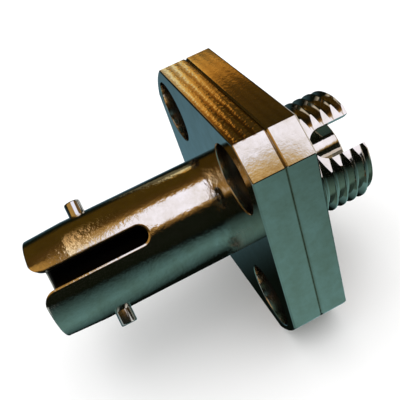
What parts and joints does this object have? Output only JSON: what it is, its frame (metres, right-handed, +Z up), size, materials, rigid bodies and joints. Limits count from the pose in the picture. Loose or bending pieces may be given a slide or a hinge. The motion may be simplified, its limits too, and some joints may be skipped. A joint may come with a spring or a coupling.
{
  "type": "bayonet to threaded fibre optic adapter",
  "caption": "Fibre optic adapter: a square two-plate flange with a keyed bayonet barrel on one side and a keyed threaded skirt on the other, joining two ferrules in a split sleeve.",
  "frame": {"origin": "on the optical axis, in the flange face that seats on a panel, midway between the two panel screw holes", "axes": "+X along the optical axis towards the threaded end, +Z up, flange sides square to Y and Z"},
  "size_m": [0.0224, 0.0164, 0.0164],
  "materials": {
    "nickel_plated_brass": "bright nickel plate",
    "holder_nickel": "bright nickel plate",
    "zirconia": "polished ceramic",
    "pin_steel": "ground",
    "screw_steel": "plated"
  },
  "bodies": {
    "root": {"bayonet_body": "nickel_plated_brass", "threaded_body": "nickel_plated_brass", "bayonet_sleeve_holder": "holder_nickel", "threaded_sleeve_holder": "holder_nickel", "alignment_sleeve": "zirconia", "bayonet_pin_upper": "pin_steel", "bayonet_pin_lower": "pin_steel", "assembly_screw_upper": "screw_steel", "assembly_screw_lower": "screw_steel"}
  },
  "joints": []
}
